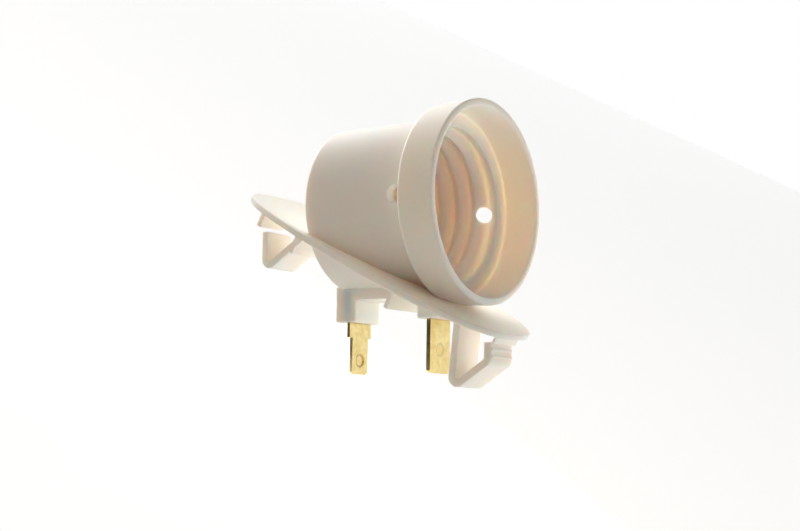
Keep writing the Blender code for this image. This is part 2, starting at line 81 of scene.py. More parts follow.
camera_data = bpy.data.cameras.new("camera")
camera_data.lens = LENS
camera_data.sensor_width = SENSOR_WIDTH
camera_data.clip_start = NEAREST_SEEN
camera = bpy.data.objects.new("camera", camera_data)
bpy.context.scene.collection.objects.link(camera)
sight = CAMERA_TARGET - CAMERA_PLACE
aim = sight.to_track_quat("-Z", "Y").to_matrix().to_4x4()
camera.matrix_world = Matrix.Translation(CAMERA_PLACE) @ aim @ Matrix.Rotation(CAMERA_ROLL, 4, "Z")
bpy.context.scene.camera = camera
bpy.context.scene.view_settings.view_transform = "Standard"
print("camera distance: %.0f mm" % (sight.length / MM))

# %% [markdown]
# ## World
# The photograph is a backlit shot on a white table. Bright panels stand round the table, level with
# the part, and the strongest are to its left and behind it. So the faces that look left and back are
# almost white, the ones that look at the camera stay grey, and light shines through the thin walls.
# In the world each panel is a soft lobe of light, strongest in one direction, and Add Shader sums the
# lobes. The dim warm one on the camera's side is the room. The camera sees plain white instead, and
# so do the shiny faces of the brass, apart from the dark room behind the camera.

# %% Place the soft panels
WHITE = (1.0, 1.0, 1.0, 1.0)
WARM = (1.0, 0.78, 0.62, 1.0)
PANEL_ELEVATION = 2
PANEL_TIGHTNESS = 12
# Each panel has its azimuth in degrees, its strength and its colour
PANELS = (
    (0, 1.1, WHITE),
    (45, 0.4, WHITE),
    (90, 1.8, WHITE),
    (130, 3.8, WHITE),
    (165, 10.2, WHITE),
    (-50, 0.5, WARM),
)
strongest_panel = max(PANELS, key=lambda panel: panel[1])
print("strongest of %d panels: at %d degrees" % (len(PANELS), strongest_panel[0]))


# %% Add nodes with little writing
def new_node(tree, kind, place, **values):
    """Add a node, and set its properties or its input values by name."""
    node = tree.nodes.new(kind)
    node.location = place
    for name, value in values.items():
        if hasattr(node, name):
            setattr(node, name, value)
        else:
            node.inputs[name].default_value = value
    return node


def step_node(tree, place, low_end, high_end, low_value, high_value):
    """Add a Map Range node that steps smoothly from one value to another."""
    node = new_node(tree, "ShaderNodeMapRange", place, interpolation_type="SMOOTHSTEP")
    ends = {"From Min": low_end, "From Max": high_end, "To Min": low_value, "To Max": high_value}
    for name, value in ends.items():
        node.inputs[name].default_value = value
    return node


def facing_node(tree, direction, towards, place):
    """Add a node that tells how squarely a direction faces a given one, from -1 to 1."""
    node = new_node(tree, "ShaderNodeVectorMath", place, operation="DOT_PRODUCT")
    node.inputs[1].default_value = towards
    tree.links.new(direction.outputs["Generated"], node.inputs[0])
    return node


# %% Make the world a ring of soft panels
world = bpy.data.worlds.new("tent")
world.use_nodes = True
bpy.context.scene.world = world
tree = world.node_tree
tree.nodes.clear()
direction = new_node(tree, "ShaderNodeTexCoord", (-1400, 0))
soft = new_node(tree, "ShaderNodeBackground", (-300, 900), Color=WHITE, Strength=0.0).outputs[0]
for i, (azimuth, power, colour) in enumerate(PANELS):
    height = 900 - 200 * i
    around, above = math.radians(azimuth), math.radians(PANEL_ELEVATION)
    towards = Vector(
        (math.cos(around) * math.cos(above), math.sin(around) * math.cos(above), math.sin(above))
    )
    facing = facing_node(tree, direction, towards, (-1200, height))
    front = new_node(tree, "ShaderNodeMath", (-1000, height), operation="MAXIMUM")
    front.inputs[1].default_value = 0.0
    lobe = new_node(tree, "ShaderNodeMath", (-800, height), operation="POWER")
    lobe.inputs[1].default_value = PANEL_TIGHTNESS
    strength = new_node(tree, "ShaderNodeMath", (-600, height), operation="MULTIPLY")
    strength.inputs[1].default_value = power
    panel = new_node(tree, "ShaderNodeBackground", (-450, height), Color=colour)
    add = new_node(tree, "ShaderNodeAddShader", (-300, height))
    tree.links.new(facing.outputs["Value"], front.inputs[0])
    tree.links.new(front.outputs["Value"], lobe.inputs[0])
    tree.links.new(lobe.outputs["Value"], strength.inputs[0])
    tree.links.new(strength.outputs["Value"], panel.inputs["Strength"])
    tree.links.new(panel.outputs["Background"], add.inputs[0])
    tree.links.new(soft, add.inputs[1])
    soft = add.outputs["Shader"]
print("nodes in the ring of panels:", len(tree.nodes))

# %% Show white to the camera and a dark room to the brass
DARK_ROOM = Vector((-0.553, -0.817, -0.164)).normalized()
ROOM_STARTS = 0.55
ROOM_FULL = 0.92
ROOM_STRENGTH = 0.03

facing_room = facing_node(tree, direction, DARK_ROOM, (-1200, -400))
shiny_strength = step_node(tree, (-600, -400), ROOM_STARTS, ROOM_FULL, 1.0, ROOM_STRENGTH)
tree.links.new(facing_room.outputs["Value"], shiny_strength.inputs["Value"])
shiny = new_node(tree, "ShaderNodeBackground", (-300, -150), Color=WHITE)
seen = new_node(tree, "ShaderNodeBackground", (-300, -300), Color=WHITE, Strength=1.0)
path = new_node(tree, "ShaderNodeLightPath", (-300, 400))
is_shiny = new_node(tree, "ShaderNodeMath", (-100, 400), operation="MAXIMUM")
choose_shiny = new_node(tree, "ShaderNodeMixShader", (0, 0))
choose_seen = new_node(tree, "ShaderNodeMixShader", (200, 0))
output = new_node(tree, "ShaderNodeOutputWorld", (400, 0))
tree.links.new(shiny_strength.outputs["Result"], shiny.inputs["Strength"])
tree.links.new(path.outputs["Is Glossy Ray"], is_shiny.inputs[0])
tree.links.new(path.outputs["Is Transmission Ray"], is_shiny.inputs[1])
tree.links.new(is_shiny.outputs["Value"], choose_shiny.inputs["Fac"])
tree.links.new(soft, choose_shiny.inputs[1])
tree.links.new(shiny.outputs["Background"], choose_shiny.inputs[2])
tree.links.new(path.outputs["Is Camera Ray"], choose_seen.inputs["Fac"])
tree.links.new(choose_shiny.outputs["Shader"], choose_seen.inputs[1])
tree.links.new(seen.outputs["Background"], choose_seen.inputs[2])
tree.links.new(choose_seen.outputs["Shader"], output.inputs["Surface"])
print("nodes in the whole world:", len(tree.nodes))

# %% [markdown]
# ## Floor
# The part hangs over a pale table, as it would on a stand that is taken out of the picture. A glow
# that only the camera and the shiny faces see lifts the table to white, and adds no light to the
# part. The table still bounces its own light up under the flange, and keeps a faint shadow.

# %% Lay the pale floor
FLOOR_DROP = 12 * MM
FLOOR_SIZE = 6.0
FLOOR_GLOW = 0.50
FLOOR_COLOUR = (0.9, 0.9, 0.89, 1.0)
MATT = 0.9

lowest = cad_bounds[0][2]
bpy.ops.object.select_all(action="DESELECT")
bpy.ops.mesh.primitive_plane_add(size=FLOOR_SIZE, location=(0, 0, lowest - FLOOR_DROP))
floor = bpy.context.object
floor.name = "floor"
floor_material = bpy.data.materials.new("pale_floor")
floor_material.use_nodes = True
tree = floor_material.node_tree
shader = tree.nodes["Principled BSDF"]
shader.inputs["Base Color"].default_value = FLOOR_COLOUR
shader.inputs["Roughness"].default_value = MATT
shader.inputs["Emission Color"].default_value = WHITE
path = new_node(tree, "ShaderNodeLightPath", (-900, -300))
looked_at = new_node(tree, "ShaderNodeMath", (-700, -300), operation="MAXIMUM")
or_shown = new_node(tree, "ShaderNodeMath", (-500, -300), operation="MAXIMUM")
glow = new_node(tree, "ShaderNodeMath", (-250, -300), operation="MULTIPLY")
glow.inputs[1].default_value = FLOOR_GLOW
tree.links.new(path.outputs["Is Camera Ray"], looked_at.inputs[0])
tree.links.new(path.outputs["Is Glossy Ray"], looked_at.inputs[1])
tree.links.new(looked_at.outputs["Value"], or_shown.inputs[0])
tree.links.new(path.outputs["Is Transmission Ray"], or_shown.inputs[1])
tree.links.new(or_shown.outputs["Value"], glow.inputs[0])
tree.links.new(glow.outputs["Value"], shader.inputs["Emission Strength"])
floor.data.materials.append(floor_material)
print("floor: %.0f mm under the part's lowest point" % (FLOOR_DROP / MM))

# %% [markdown]
# ## Black card
# A small black card stands in front of the tabs, and only shiny faces see it. It gives the near edges
# of the brass their crisp near-black line, as the dark room does in the photograph, where the table
# doesn't reach that far forward.

# %% Stand the black card
TABS_PLACE = Vector((10.0, -3.0, -17.0)) * MM
CARD_DISTANCE = 60 * MM
CARD_SIZE = 100 * MM
CARD_COLOUR = (0.02, 0.018, 0.015, 1.0)

bpy.ops.object.select_all(action="DESELECT")
bpy.ops.mesh.primitive_plane_add(size=CARD_SIZE, location=TABS_PLACE + DARK_ROOM * CARD_DISTANCE)
card = bpy.context.object
card.name = "black_card"
card.rotation_euler = DARK_ROOM.to_track_quat("Z", "Y").to_euler()
card.visible_camera = False
card.visible_diffuse = False
card.visible_shadow = False
card_material = bpy.data.materials.new("black_card")
card_material.use_nodes = True
shader = card_material.node_tree.nodes["Principled BSDF"]
shader.inputs["Base Color"].default_value = CARD_COLOUR
shader.inputs["Roughness"].default_value = MATT
card.data.materials.append(card_material)
print("black card: %.0f mm from the tabs" % (CARD_DISTANCE / MM))

# %% [markdown]
# ## Lamps
# The white table glows from below, as a light table does, so the underside of the flange, the clips
# and the terminals are bright. A wide weak lamp just over the floor, under the part and a little
# behind it, gives that light. Another weak lamp, slightly warm, hangs above and in front of the part
# and lifts its top and the faces that look at the camera. The camera and the shiny faces see neither.

# %% Hang the soft lamps
TABLE_LAMP_SIZE = 0.18
TABLE_LAMP_POWER = 0.20
TABLE_LAMP_LIFT = 1 * MM
TOP_LAMP_SIZE = 0.6
TOP_LAMP_POWER = 1.0
TOP_LAMP_COLOUR = (1.0, 0.90, 0.78)


def soft_lamp(name, place, target, size, power, colour):
    """Add a square lamp of a size in metres that looks at a place."""
    data = bpy.data.lights.new(name, "AREA")
    data.color = colour
    data.size = size
    data.energy = power
    lamp = bpy.data.objects.new(name, data)
    lamp.location = place
    lamp.rotation_euler = (target - place).to_track_quat("-Z", "Y").to_euler()
    lamp.visible_camera = False
    lamp.visible_glossy = False
    bpy.context.scene.collection.objects.link(lamp)
    return lamp


part_middle = Vector((0, 0, 0))
table_lamp_place = Vector((0.02, 0.06, lowest - FLOOR_DROP + TABLE_LAMP_LIFT))
top_lamp_place = Vector((-0.05, -0.33, 0.50))
soft_lamp("table", table_lamp_place, part_middle, TABLE_LAMP_SIZE, TABLE_LAMP_POWER, WHITE[:3])
soft_lamp("above", top_lamp_place, part_middle, TOP_LAMP_SIZE, TOP_LAMP_POWER, TOP_LAMP_COLOUR)
print("lamps: %.2f W on the table, %.1f W above" % (TABLE_LAMP_POWER, TOP_LAMP_POWER))

# %% [markdown]
# ## Sizes
# The moulding hangs on two frames. The flange lies in the plane Z = 0 of the part, with its long side
# along X. The socket has a frame of its own, at the middle of its mouth: there Z runs out of the
# mouth along the lamp's axis, and X runs down towards the terminals. Turned shapes are made in that
# second frame, where they are simple, and then moved into the first.

# %% Name the driving sizes
FLANGE_LENGTH = 59.8 * MM
FLANGE_WIDTH = 33.6 * MM
FLANGE_THICKNESS = 1.1 * MM
FLANGE_EXPONENT = 2.58

LAMP_TILT = math.radians(27.6)
MOUTH_CENTRE = Vector((14.4, 0.0, 19.15)) * MM

SOCKET_LENGTH = 28.8 * MM
REAR_WALL = 1.2 * MM
BARREL_FRONT_RADIUS = 15.2 * MM
BARREL_REAR_RADIUS = 14.95 * MM
COLLAR_MOUTH_RADIUS = 18.0 * MM
COLLAR_BACK_RADIUS = 17.7 * MM
COLLAR_LENGTH = 7.35 * MM
COLLAR_WALL = 1.35 * MM
COLLAR_DEPTH = 6.5 * MM

THREAD_ROOT_RADIUS = 13.6 * MM
THREAD_CREST_RADIUS = 12.35 * MM
THREAD_PITCH = 3.6 * MM

CLEAR = 0.4 * MM
ROUND_SEGMENTS = 192

low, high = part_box("socket_body")
print("moulding in the frame: %.1f x %.1f x %.1f mm" % tuple((high - low) / MM))

# %% [markdown]
# ## Tools for turned shapes
# A turned shape starts as a filled circle. The circle's face is extruded from one ring of the profile
# to the next and scaled to that ring's radius, which is how a lathe profile is drawn by hand in edit
# mode. Rounded corners are arcs of short steps.

# %% Turn a solid from rings
def only(obj):
    """Select one object alone and make it active."""
    bpy.ops.object.select_all(action="DESELECT")
    obj.select_set(True)
    bpy.context.view_layer.objects.active = obj


def arc(centre, radius, start, end, steps):
    """Points of an arc in the plane of a profile, with its angles in degrees."""
    angles = [math.radians(start + (end - start) * i / steps) for i in range(steps + 1)]
    return [(centre[0] + radius * math.cos(a), centre[1] + radius * math.sin(a)) for a in angles]


def turned_solid(name, rings, segments=ROUND_SEGMENTS):
    """Extrude and scale a filled circle through rings of (radius, height)."""
    bpy.ops.object.select_all(action="DESELECT")
    radius, height = rings[0]
    bpy.ops.mesh.primitive_circle_add(
        vertices=segments, radius=radius, fill_type="NGON", location=(0, 0, 0)
    )
    obj = bpy.context.object
    obj.name = name
    bpy.ops.object.mode_set(mode="EDIT")
    bpy.ops.mesh.select_all(action="SELECT")
    bpy.ops.transform.translate(value=(0, 0, height))
    for ring_radius, ring_height in rings[1:]:
        bpy.ops.mesh.extrude_region_move(
            TRANSFORM_OT_translate={"value": (0, 0, ring_height - height)}
        )
        factor = ring_radius / radius
        bpy.ops.transform.resize(value=(factor, factor, 1), center_override=(0, 0, ring_height))
        radius, height = ring_radius, ring_height
    bpy.ops.mesh.select_all(action="SELECT")
    bpy.ops.mesh.normals_make_consistent(inside=False)
    bpy.ops.object.mode_set(mode="OBJECT")
    return obj


def turn_and_move(obj, turn, move):
    """Turn a piece about the origin and then move it, and put both into its mesh."""
    only(obj)
    obj.rotation_euler = turn
    obj.location = move
    bpy.ops.object.transform_apply(location=True, rotation=True, scale=True)
    return obj


def onto_lamp_axis(obj):
    """Take a piece from the socket's frame into the part's."""
    return turn_and_move(obj, (0, math.pi / 2 - LAMP_TILT, 0), MOUTH_CENTRE)


# %% Turn the outside of barrel and collar
REAR_ROUND = 0.6 * MM
COLLAR_BACK_ROUND = 0.7 * MM
CORNER_ROUND = 0.35 * MM
RIM_ROUND = 0.45 * MM
WIDE_STEPS = 8
RIM_STEPS = 6
NARROW_STEPS = 5

back = -COLLAR_LENGTH
rear_edge = (BARREL_REAR_RADIUS - REAR_ROUND, REAR_ROUND - SOCKET_LENGTH)
corner = (BARREL_FRONT_RADIUS + CORNER_ROUND, back - CORNER_ROUND)
back_edge = (COLLAR_BACK_RADIUS - COLLAR_BACK_ROUND, back + COLLAR_BACK_ROUND)
rings = arc(rear_edge, REAR_ROUND, -90, 0, WIDE_STEPS)
rings += arc(corner, CORNER_ROUND, 180, 90, NARROW_STEPS)
rings += arc(back_edge, COLLAR_BACK_ROUND, -90, 0, WIDE_STEPS)
rings += arc((COLLAR_MOUTH_RADIUS - RIM_ROUND, -RIM_ROUND), RIM_ROUND, 0, 90, RIM_STEPS)
housing = onto_lamp_axis(turned_solid("housing", rings))
print("outside of the socket:", len(housing.data.polygons), "faces")

# %% [markdown]
# ## The threaded bore
# The lamp's cap screws into a knuckle thread, a soft wave of plastic that winds down the bore. At the
# collar's ledge the bore starts with a narrow lip, and behind the lip runs a shallow groove, out of
# which the thread winds in. The bore is made as a plug and cut out of the moulding later. The plug is
# turned with many close rings, and then each of its points is pushed out: where the point stands on
# the helix gives how deep the wave is there. This leaves an even mesh, which a cut with a swept tube
# would not.

# %% Turn the plug
THREAD_RING_STEP = 0.15 * MM
LIP_RADIUS = 13.6 * MM
ENTRY_ROUND = 0.2 * MM
ENTRY_STEPS = 4
FLOOR_ROUND = 0.5 * MM
FOOT_ROUND = 0.45 * MM

floor_height = REAR_WALL - SOCKET_LENGTH
rim_inside = COLLAR_MOUTH_RADIUS - COLLAR_WALL
collar_foot = COLLAR_BACK_RADIUS - COLLAR_WALL
floor_edge = (THREAD_CREST_RADIUS - FLOOR_ROUND, floor_height + FLOOR_ROUND)
entry_edge = (LIP_RADIUS + ENTRY_ROUND, -COLLAR_DEPTH - ENTRY_ROUND)
foot_edge = (collar_foot - FOOT_ROUND, FOOT_ROUND - COLLAR_DEPTH)
thread_length = -COLLAR_DEPTH - ENTRY_ROUND - floor_height - FLOOR_ROUND
ring_count = round(thread_length / THREAD_RING_STEP)
ring_step = thread_length / ring_count
rings = arc(floor_edge, FLOOR_ROUND, -90, 0, NARROW_STEPS)
for i in range(1, ring_count + 1):
    rings.append((THREAD_CREST_RADIUS, floor_height + FLOOR_ROUND + i * ring_step))
rings += arc(entry_edge, ENTRY_ROUND, 180, 90, ENTRY_STEPS)[1:]
rings += arc(foot_edge, FOOT_ROUND, -90, 0, NARROW_STEPS)
rings += arc((rim_inside + RIM_ROUND, -RIM_ROUND), RIM_ROUND, 180, 90, RIM_STEPS)
rings.append((rim_inside + RIM_ROUND, CLEAR))
plug = turned_solid("bore", rings)
print("plug: %d rings for the thread, %.1f mm long" % (ring_count, thread_length / MM))

# %% Wind the thread on the plug
THREAD_PHASE = -24.0 * MM
WAVE_ROOT_RADIUS = 13.5 * MM
WAVE_CREST_RADIUS = 12.65 * MM
WAVE_STARTS = 1.5 * MM
WAVE_FULL = 4.0 * MM
GROOVE_RADIUS = 14.2 * MM
GROOVE_DEPTH = 2.0 * MM
RUN_OUT_DEPTH = 3.6 * MM
TOLERANCE = 0.01 * MM


def smooth_step(low_end, high_end, value):
    """How far a value is between two ends, from 0 to 1, with a soft start and stop."""
    share = min(max((value - low_end) / (high_end - low_end), 0.0), 1.0)
    return share * share * (3 - 2 * share)


def bore_radius(angle, height):
    """The bore's radius at an angle and a height: a lip, the groove behind it, then the thread."""
    turns = (height - THREAD_PHASE) / THREAD_PITCH - angle / (2 * math.pi)
    wave = 0.5 + 0.5 * math.cos(2 * math.pi * turns)
    wave *= smooth_step(floor_height + WAVE_STARTS, floor_height + WAVE_FULL, height)
    thread = WAVE_CREST_RADIUS + (WAVE_ROOT_RADIUS - WAVE_CREST_RADIUS) * wave
    depth = -COLLAR_DEPTH - height
    groove = smooth_step(0, GROOVE_DEPTH, depth)
    entry = LIP_RADIUS + (GROOVE_RADIUS - LIP_RADIUS) * groove
    return entry + (thread - entry) * smooth_step(GROOVE_DEPTH, RUN_OUT_DEPTH, depth)


for vertex in plug.data.vertices:
    x, y, z = vertex.co
    radius = math.hypot(x, y)
    if abs(radius - THREAD_CREST_RADIUS) > TOLERANCE or z > -COLLAR_DEPTH - ENTRY_ROUND / 2:
        continue
    factor = bore_radius(math.atan2(y, x), z) / radius
    vertex.co.x *= factor
    vertex.co.y *= factor
onto_lamp_axis(plug)
print("thread:", len(plug.data.polygons), "faces")

# %% [markdown]
# ## The flange
# The flange is a thin plate between an oval and a rectangle, a superellipse. A circle's points are
# moved onto that curve, its face is extruded by the plate's thickness, and the two edges that run
# round it get a small bevel, as the mould leaves them. The underside has a shallow field inside a
# narrow border, and only the border touches the panel.

# %% Shape the flange
FLANGE_EDGE = 0.18 * MM
SEAT_RIM_WIDTH = 1.0 * MM
SEAT_RIM_HEIGHT = 0.2 * MM
EDGE_SEGMENTS = 3
EDGE_ANGLE = 40


def superellipse_plate(name, length, width, bottom, top, edge):
    """A plate with a superellipse outline between two heights, with rounded edges if edge isn't 0."""
    bpy.ops.object.select_all(action="DESELECT")
    bpy.ops.mesh.primitive_circle_add(vertices=ROUND_SEGMENTS, radius=1.0, fill_type="NGON")
    obj = bpy.context.object
    obj.name = name
    for vertex in obj.data.vertices:
        c, s, _ = vertex.co
        vertex.co.x = length / 2 * math.copysign(abs(c) ** (2 / FLANGE_EXPONENT), c)
        vertex.co.y = width / 2 * math.copysign(abs(s) ** (2 / FLANGE_EXPONENT), s)
        vertex.co.z = bottom
    bpy.ops.object.mode_set(mode="EDIT")
    bpy.ops.mesh.select_all(action="SELECT")
    bpy.ops.mesh.remove_doubles(threshold=TOLERANCE)
    bpy.ops.mesh.extrude_region_move(TRANSFORM_OT_translate={"value": (0, 0, top - bottom)})
    bpy.ops.mesh.select_all(action="SELECT")
    bpy.ops.mesh.normals_make_consistent(inside=False)
    bpy.ops.object.mode_set(mode="OBJECT")
    if edge:
        round_edges(obj, edge)
    return obj


def round_edges(obj, width, segments=EDGE_SEGMENTS, angle=EDGE_ANGLE):
    """Give the sharp edges of a piece a small round with a Bevel modifier, and apply it."""
    only(obj)
    bevel = obj.modifiers.new("rounds", "BEVEL")
    bevel.width = width
    bevel.segments = segments
    bevel.limit_method = "ANGLE"
    bevel.angle_limit = math.radians(angle)
    bevel.harden_normals = False
    bpy.ops.object.modifier_apply(modifier=bevel.name)
    return obj


flange = superellipse_plate("flange", FLANGE_LENGTH, FLANGE_WIDTH, 0, FLANGE_THICKNESS, FLANGE_EDGE)
seat_field = superellipse_plate(
    "seat_field", FLANGE_LENGTH - 2 * SEAT_RIM_WIDTH, FLANGE_WIDTH - 2 * SEAT_RIM_WIDTH,
    -CLEAR, SEAT_RIM_HEIGHT, 0,
)
print("flange:", len(flange.data.polygons), "faces")

# %% [markdown]
# ## Clips
# Each clip is a strip of plastic that drops from the flange, turns back up in a tight bend and ends
# free, so that it springs when it passes the panel's edge. An edge as wide as the strip is extruded
# step by step along the strip's middle line, and Solidify gives it its thickness. The front clip ends
# in a hook with small ridges that grip the panel.

# %% Find where the legs meet the flange
def below_lamp(part_height, lamp_z):
    """How far below the lamp's axis a height above the seat lies, at a place along that axis."""
    return (MOUTH_CENTRE.z + lamp_z * math.sin(LAMP_TILT) - part_height) / math.cos(LAMP_TILT)


def up_to_flange(start, lean):
    """Where a leg that rises from a point, leaning towards the mouth, is inside the flange."""
    height = MOUTH_CENTRE.z + start[1] * math.sin(LAMP_TILT) - start[0] * math.cos(LAMP_TILT)
    length = (SEAT_RIM_HEIGHT + CLEAR - height) / math.cos(lean - LAMP_TILT)
    return (start[0] - length * math.cos(lean), start[1] + length * math.sin(lean))


# %% Extrude a strip along a bent path
BEND_STEPS = 12
STRIP_EDGE_ANGLE = 50


def rounded_path(corners, radius):
    """Corner points (x, z) with each inner corner turned into an arc."""
    points = [Vector(corners[0])]
    for before, corner, after in zip(corners, corners[1:], corners[2:]):
        corner = Vector(corner)
        back_way = (Vector(before) - corner).normalized()
        on_way = (Vector(after) - corner).normalized()
        half = back_way.angle(on_way) / 2
        centre = corner + (back_way + on_way).normalized() * (radius / math.sin(half))
        first = corner + back_way * (radius / math.tan(half)) - centre
        last = corner + on_way * (radius / math.tan(half)) - centre
        start = math.atan2(first.y, first.x)
        sweep = math.remainder(math.atan2(last.y, last.x) - start, 2 * math.pi)
        points += [
            Vector(p)
            for p in arc(centre, radius, math.degrees(start), math.degrees(start + sweep), BEND_STEPS)
        ]
    points.append(Vector(corners[-1]))
    return points


def bent_strip(name, corners, radius, thickness, width, edge):
    """Extrude an edge along a bent path, then give the strip its thickness and rounded edges."""
    path_points = rounded_path(corners, radius)
    bpy.ops.object.select_all(action="DESELECT")
    bpy.ops.mesh.primitive_plane_add(size=width, location=(0, 0, 0))
    obj = bpy.context.object
    obj.name = name
    bpy.ops.object.mode_set(mode="EDIT")
    bpy.ops.mesh.select_mode(type="VERT")
    bpy.ops.mesh.select_all(action="DESELECT")
    bpy.ops.object.mode_set(mode="OBJECT")
    for vertex in obj.data.vertices:
        vertex.select = vertex.co.x > 0
    bpy.ops.object.mode_set(mode="EDIT")
    bpy.ops.mesh.delete(type="VERT")
    bpy.ops.mesh.select_all(action="SELECT")
    start = path_points[0]
    bpy.ops.transform.translate(value=(start.x + width / 2, 0, start.y))
    for here, there in zip(path_points, path_points[1:]):
        bpy.ops.mesh.extrude_region_move(
            TRANSFORM_OT_translate={"value": (there.x - here.x, 0, there.y - here.y)}
        )
    bpy.ops.mesh.select_all(action="SELECT")
    bpy.ops.mesh.normals_make_consistent(inside=False)
    bpy.ops.object.mode_set(mode="OBJECT")
    only(obj)
    wall = obj.modifiers.new("thickness", "SOLIDIFY")
    wall.thickness = thickness
    wall.offset = 0
    wall.use_even_offset = True
    bpy.ops.object.modifier_apply(modifier=wall.name)
    if edge:
        round_edges(obj, edge, angle=STRIP_EDGE_ANGLE)
    return obj


# %% Bend the two clips
CLIP_WIDTH = 7.2 * MM
CLIP_THICKNESS = 1.4 * MM
CLIP_BEND_RADIUS = 1.1 * MM
CLIP_EDGE = 0.2 * MM
CLIP_RAMP_LEAN = math.radians(57)
FRONT_BEND = Vector((32.5, -5.1)) * MM
FRONT_LEG_LEAN = math.radians(5.7)
HOOK_REACH = 7.3 * MM
HOOK_GAP = 1.6 * MM
REAR_BEND = Vector((10.0, -46.8)) * MM
REAR_CLIP_GAP = 5.0 * MM

hook_z = FRONT_BEND.y + HOOK_REACH
hook_foot = (FRONT_BEND.x - HOOK_REACH / math.tan(CLIP_RAMP_LEAN), hook_z)
hook_end = (below_lamp(-HOOK_GAP, hook_z), hook_z)
front_clip = bent_strip(
    "front_clip", [up_to_flange(FRONT_BEND, FRONT_LEG_LEAN), FRONT_BEND, hook_foot, hook_end],
    CLIP_BEND_RADIUS, CLIP_THICKNESS, CLIP_WIDTH, CLIP_EDGE,
)
rear_end = (below_lamp(-REAR_CLIP_GAP, REAR_BEND.y), REAR_BEND.y)
rear_clip = bent_strip(
    "rear_clip", [rear_end, REAR_BEND, up_to_flange(REAR_BEND, CLIP_RAMP_LEAN)],
    CLIP_BEND_RADIUS, CLIP_THICKNESS, CLIP_WIDTH, CLIP_EDGE,
)
print("clips:", len(front_clip.data.polygons) + len(rear_clip.data.polygons), "faces")

# %% Add the ridges on the hook
RIDGE_RADIUS = 0.3 * MM
RIDGE_PITCH = 1.2 * MM
RIDGES = 2
RIDGE_SINK = 0.05 * MM
RIDGE_SEGMENTS = 24

ridges = []
for i in range(RIDGES):
    bpy.ops.object.select_all(action="DESELECT")
    bpy.ops.mesh.primitive_cylinder_add(
        vertices=RIDGE_SEGMENTS, radius=RIDGE_RADIUS, depth=CLIP_WIDTH - 3 * CLIP_EDGE,
        location=(hook_end[0] + (i + 1) * RIDGE_PITCH, 0, hook_z + CLIP_THICKNESS / 2 - RIDGE_SINK),
        rotation=(math.pi / 2, 0, 0),
    )
    ridge = bpy.context.object
    ridge.name = "ridge_%d" % (i + 1)
    bpy.ops.object.transform_apply(location=True, rotation=True, scale=True)
    ridges.append(ridge)
print("ridges on the hook:", len(ridges))

# %% [markdown]
# ## Walls and blocks under the flange
# Thin walls steady the part in the cut-out, and thicker blocks hold the terminals. Each starts as a
# cube between two corners, and its edges are rounded before it joins the moulding.

# %% Set the thin walls
FRONT_LIP_X = 28.8 * MM
FRONT_LIP_THICKNESS = 0.6 * MM
FRONT_LIP_DEPTH = 1.3 * MM
END_WALL_X = -27.9 * MM
END_WALL_THICKNESS = 1.1 * MM
END_WALL_DEPTH = 4.8 * MM
ROOT_WALL_X = -18.4 * MM
ROOT_WALL_THICKNESS = 1.0 * MM
ROOT_WALL_DEPTH = 6.1 * MM
GUARD_WALL_X = 8.0 * MM
GUARD_WALL_THICKNESS = 0.9 * MM
GUARD_WALL_DEPTH = 5.0 * MM
GUARD_WALL_WIDTH = 13.6 * MM
WALL_EDGE = 0.15 * MM


def block(name, low_corner, high_corner, edge):
    """A cube stretched between two corners, with its edges rounded."""
    low_corner, high_corner = Vector(low_corner), Vector(high_corner)
    bpy.ops.object.select_all(action="DESELECT")
    bpy.ops.mesh.primitive_cube_add(size=1, location=(low_corner + high_corner) / 2)
    obj = bpy.context.object
    obj.name = name
    obj.scale = high_corner - low_corner
    bpy.ops.object.transform_apply(location=True, rotation=True, scale=True)
    if edge:
        round_edges(obj, edge)
    return obj


def wall(name, x, thickness, width, depth):
    """A thin wall across the underside of the flange."""
    return block(
        name, (x - thickness / 2, -width / 2, -depth),
        (x + thickness / 2, width / 2, SEAT_RIM_HEIGHT + CLEAR), WALL_EDGE,
    )


additions = [
    wall("front_lip", FRONT_LIP_X, FRONT_LIP_THICKNESS, CLIP_WIDTH, FRONT_LIP_DEPTH),
    wall("end_wall", END_WALL_X, END_WALL_THICKNESS, CLIP_WIDTH, END_WALL_DEPTH),
    wall("root_wall", ROOT_WALL_X, ROOT_WALL_THICKNESS, CLIP_WIDTH, ROOT_WALL_DEPTH),
    wall("guard_wall", GUARD_WALL_X, GUARD_WALL_THICKNESS, GUARD_WALL_WIDTH, GUARD_WALL_DEPTH),
]
print("walls under the flange:", len(additions))

# %% Hang the terminal blocks
BLOCK_WIDTH = 7.7 * MM
BLOCK_BACK = 29.7 * MM
BLOCK_FRONT = 25.3 * MM
BLOCK_DEPTH = 20.4 * MM
BLOCK_EDGE = 0.3 * MM
PAD_DEPTH = 16.5 * MM
PAD_FRONT = 16.6 * MM
SIDE_PLACE = 10.0 * MM
BOSS_WIDTH = 8.8 * MM
BOSS_LENGTH = 3.4 * MM
BOSS_DEPTH = 20.2 * MM


def under_barrel(name, width, back_place, front_place, depth, edge):
    """A block that hangs from the barrel, between two places along the lamp's axis."""
    made = block(
        name, (THREAD_ROOT_RADIUS + CLEAR, -width / 2, -back_place),
        (depth, width / 2, -front_place), edge,
    )
    return onto_lamp_axis(made)


additions += [
    under_barrel("terminal_block", BLOCK_WIDTH, BLOCK_BACK, BLOCK_FRONT, BLOCK_DEPTH, BLOCK_EDGE),
    under_barrel("pad", BLOCK_WIDTH, BLOCK_FRONT + 2 * CLEAR, PAD_FRONT, PAD_DEPTH, 0),
    under_barrel(
        "side_boss", BOSS_WIDTH, SIDE_PLACE + BOSS_LENGTH / 2, SIDE_PLACE - BOSS_LENGTH / 2,
        BOSS_DEPTH, BLOCK_EDGE,
    ),
]
additions += [onto_lamp_axis(piece) for piece in [front_clip, rear_clip] + ridges]
print("pieces to join to the housing:", len(additions))

